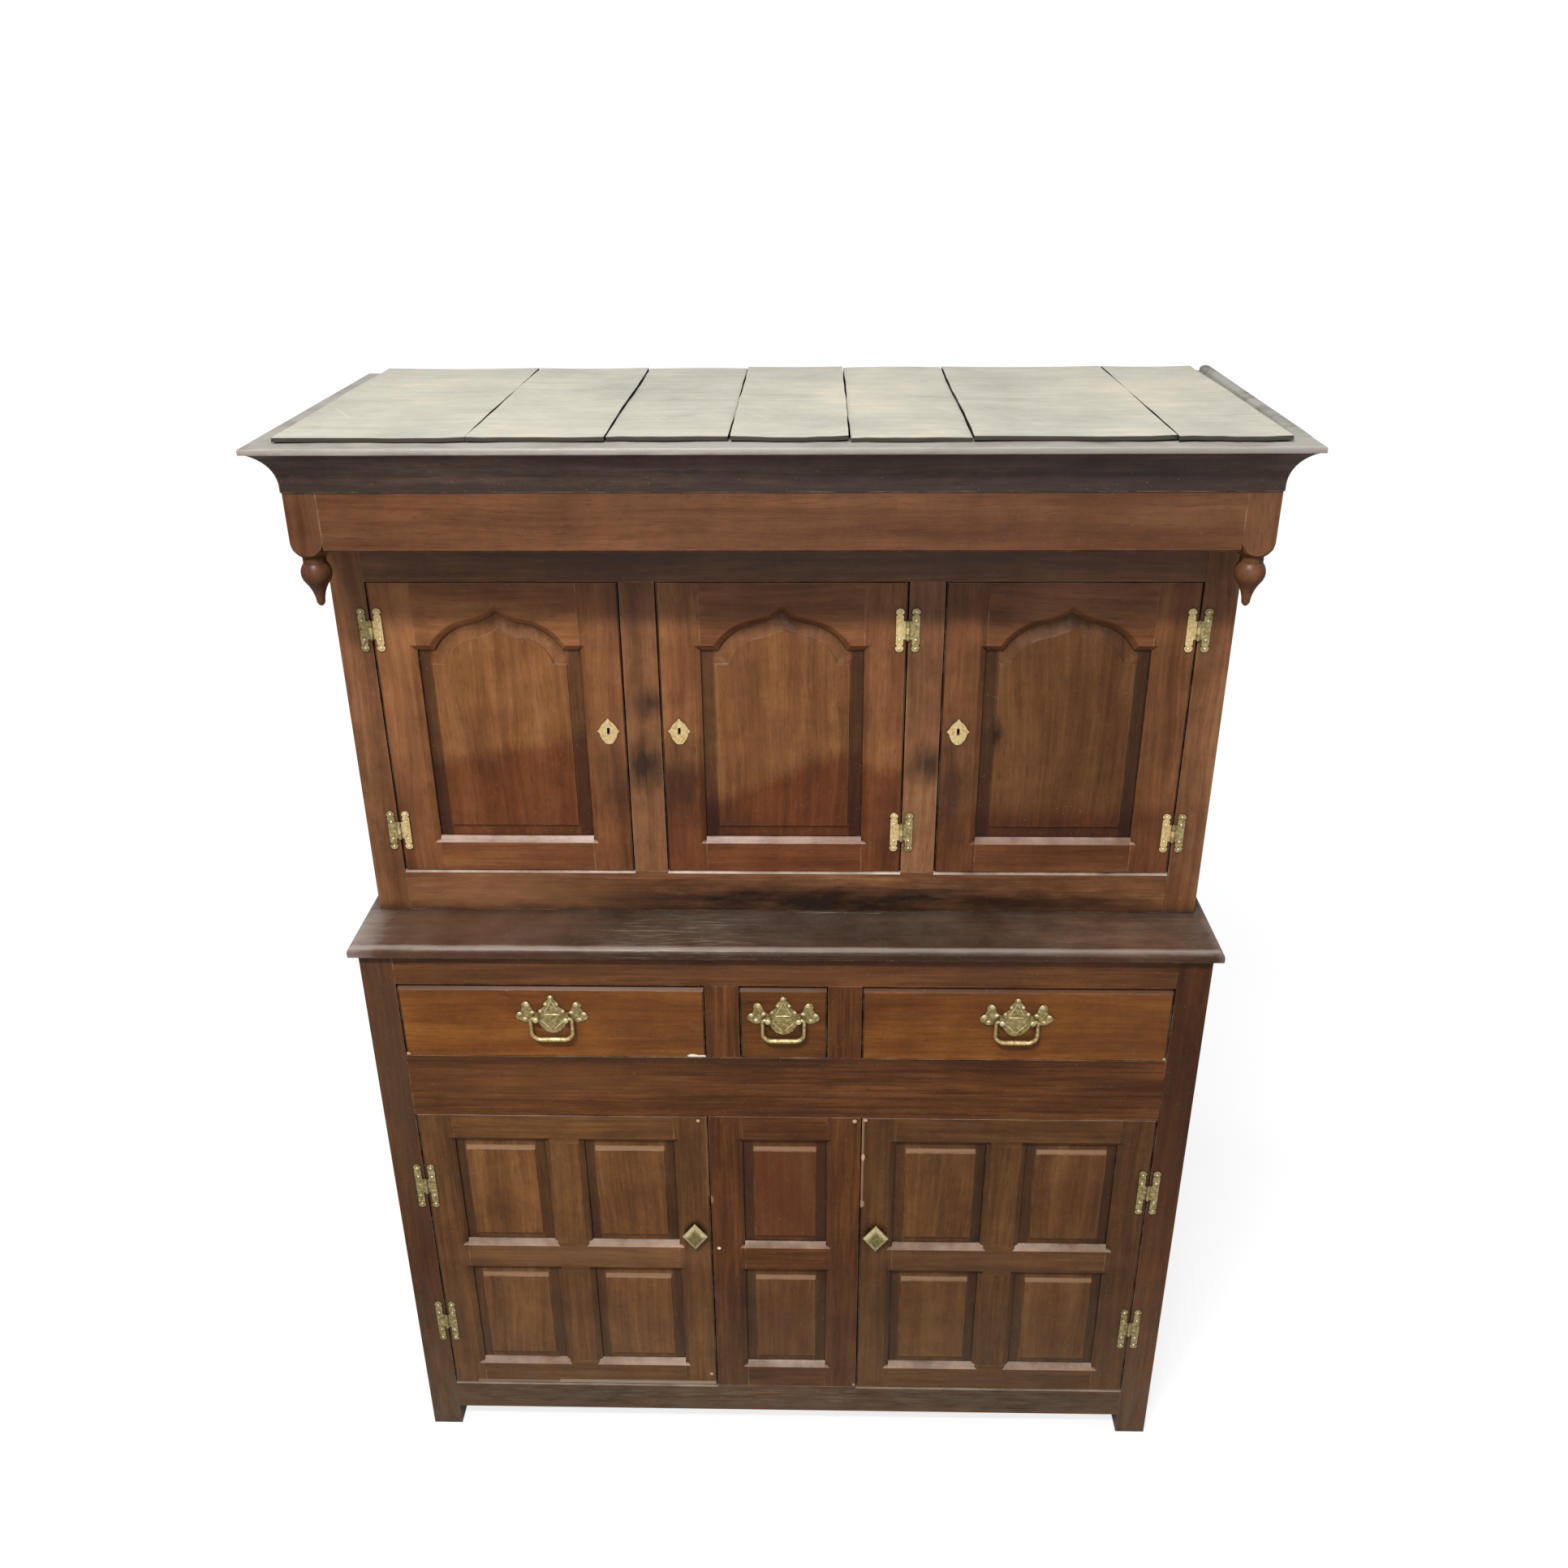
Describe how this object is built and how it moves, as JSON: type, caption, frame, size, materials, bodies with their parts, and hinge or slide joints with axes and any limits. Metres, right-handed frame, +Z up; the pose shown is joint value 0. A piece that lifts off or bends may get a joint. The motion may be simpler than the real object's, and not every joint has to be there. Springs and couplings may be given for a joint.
{
  "type": "court cupboard",
  "caption": "Two-stage panelled oak cupboard with hinged doors, drawers on runners, an overhanging frieze with turned pendants and brass fittings",
  "frame": {"origin": "on the floor under the middle of the whole piece's bounding box", "axes": "+X to the right along the front, +Y from the front to the back, +Z up"},
  "size_m": [1.323, 0.552, 1.764],
  "materials": {
    "oak_frame": "worn wax polish",
    "oak_panel": "worn wax polish",
    "oak_door": "worn wax polish",
    "oak_drawer": "worn wax polish",
    "oak_top": "worn wax polish",
    "oak_cornice": "worn wax polish",
    "oak_roof": "dry and dusty",
    "oak_inner": "unpolished",
    "brass": "dulled by age",
    "iron": "dark and dry"
  },
  "bodies": {
    "carcase": {"base_stiles": "oak_frame", "base_front_rails": "oak_frame", "drawer_muntins": "oak_frame", "centre_frame": "oak_frame", "centre_panels": "oak_panel", "base_side_and_rear_rails": "oak_frame", "base_side_panels": "oak_panel", "base_backboards": "oak_inner", "base_floor": "oak_inner", "drawer_runners": "oak_inner", "base_top": "oak_top", "upper_stiles": "oak_frame", "upper_front_rails": "oak_frame", "upper_muntins": "oak_frame", "upper_side_and_rear_rails": "oak_frame", "upper_side_panels": "oak_panel", "upper_backboards": "oak_inner", "upper_floor": "oak_inner", "frieze_boards": "oak_frame", "corner_pendants": "oak_frame", "soffit": "oak_inner", "cornice": "oak_cornice", "top_boards": "oak_roof", "base_hinge_leaves": "brass", "upper_hinge_leaves": "brass"},
    "upper_left_door": {"upper_left_door_frame": "oak_door", "upper_left_door_panel": "oak_panel", "upper_left_door_brass": "brass", "upper_left_door_lock_case": "iron"},
    "upper_left_door_bolt": {"upper_left_door_lock_bolt": "iron"},
    "upper_middle_door": {"upper_middle_door_frame": "oak_door", "upper_middle_door_panel": "oak_panel", "upper_middle_door_brass": "brass", "upper_middle_door_lock_case": "iron"},
    "upper_middle_door_bolt": {"upper_middle_door_lock_bolt": "iron"},
    "upper_right_door": {"upper_right_door_frame": "oak_door", "upper_right_door_panel": "oak_panel", "upper_right_door_brass": "brass", "upper_right_door_lock_case": "iron"},
    "upper_right_door_bolt": {"upper_right_door_lock_bolt": "iron"},
    "lower_left_door": {"lower_left_door_frame": "oak_door", "lower_left_door_panels": "oak_panel", "lower_left_door_hinges": "brass"},
    "lower_left_door_latch": {"lower_left_door_knob": "brass"},
    "lower_right_door": {"lower_right_door_frame": "oak_door", "lower_right_door_panels": "oak_panel", "lower_right_door_hinges": "brass"},
    "lower_right_door_latch": {"lower_right_door_knob": "brass"},
    "left_drawer": {"left_drawer_front": "oak_drawer", "left_drawer_box": "oak_inner", "left_drawer_plate": "brass"},
    "left_drawer_handle": {"left_drawer_bail": "brass"},
    "middle_drawer": {"middle_drawer_front": "oak_drawer", "middle_drawer_box": "oak_inner", "middle_drawer_plate": "brass"},
    "middle_drawer_handle": {"middle_drawer_bail": "brass"},
    "right_drawer": {"right_drawer_front": "oak_drawer", "right_drawer_box": "oak_inner", "right_drawer_plate": "brass"},
    "right_drawer_handle": {"right_drawer_bail": "brass"}
  },
  "joints": [
    {"name": "upper_left_door_hinge", "type": "hinge", "parent": "carcase", "child": "upper_left_door", "pos_m": [-0.57875, -0.1258, 1.311], "axis": [0, 0, -1], "range_deg": [0, 100]},
    {"name": "upper_left_door_bolt_slide", "type": "slide", "parent": "upper_left_door", "child": "upper_left_door_bolt", "axis": [1, 0, 0], "range_m": [0, 0.01]},
    {"name": "upper_middle_door_hinge", "type": "hinge", "parent": "carcase", "child": "upper_middle_door", "pos_m": [0.17575, -0.1258, 1.311], "axis": [0, 0, 1], "range_deg": [0, 170]},
    {"name": "upper_middle_door_bolt_slide", "type": "slide", "parent": "upper_middle_door", "child": "upper_middle_door_bolt", "axis": [-1, 0, 0], "range_m": [0, 0.01]},
    {"name": "upper_right_door_hinge", "type": "hinge", "parent": "carcase", "child": "upper_right_door", "pos_m": [0.57875, -0.1258, 1.311], "axis": [0, 0, 1], "range_deg": [0, 100]},
    {"name": "upper_right_door_bolt_slide", "type": "slide", "parent": "upper_right_door", "child": "upper_right_door_bolt", "axis": [-1, 0, 0], "range_m": [0, 0.01]},
    {"name": "lower_left_door_hinge", "type": "hinge", "parent": "carcase", "child": "lower_left_door", "pos_m": [-0.58425, -0.2268, 0.401], "axis": [0, 0, -1], "range_deg": [0, 170]},
    {"name": "lower_left_door_knob_turn", "type": "hinge", "parent": "lower_left_door", "child": "lower_left_door_latch", "pos_m": [-0.1485, -0.224, 0.4545], "axis": [0, -1, 0], "range_deg": [0, 90]},
    {"name": "lower_right_door_hinge", "type": "hinge", "parent": "carcase", "child": "lower_right_door", "pos_m": [0.58425, -0.2268, 0.401], "axis": [0, 0, 1], "range_deg": [0, 170]},
    {"name": "lower_right_door_knob_turn", "type": "hinge", "parent": "lower_right_door", "child": "lower_right_door_latch", "pos_m": [0.1485, -0.224, 0.4545], "axis": [0, 1, 0], "range_deg": [0, 90]},
    {"name": "left_drawer_slide", "type": "slide", "parent": "carcase", "child": "left_drawer", "axis": [0, -1, 0], "range_m": [0, 0.38]},
    {"name": "left_drawer_bail_turn", "type": "hinge", "parent": "left_drawer", "child": "left_drawer_handle", "pos_m": [-0.352, -0.2342, 0.888], "axis": [-1, 0, 0], "range_deg": [0, 90]},
    {"name": "middle_drawer_slide", "type": "slide", "parent": "carcase", "child": "middle_drawer", "axis": [0, -1, 0], "range_m": [0, 0.38]},
    {"name": "middle_drawer_bail_turn", "type": "hinge", "parent": "middle_drawer", "child": "middle_drawer_handle", "pos_m": [0, -0.2342, 0.888], "axis": [-1, 0, 0], "range_deg": [0, 90]},
    {"name": "right_drawer_slide", "type": "slide", "parent": "carcase", "child": "right_drawer", "axis": [0, -1, 0], "range_m": [0, 0.38]},
    {"name": "right_drawer_bail_turn", "type": "hinge", "parent": "right_drawer", "child": "right_drawer_handle", "pos_m": [0.352, -0.2342, 0.888], "axis": [-1, 0, 0], "range_deg": [0, 90]}
  ]
}
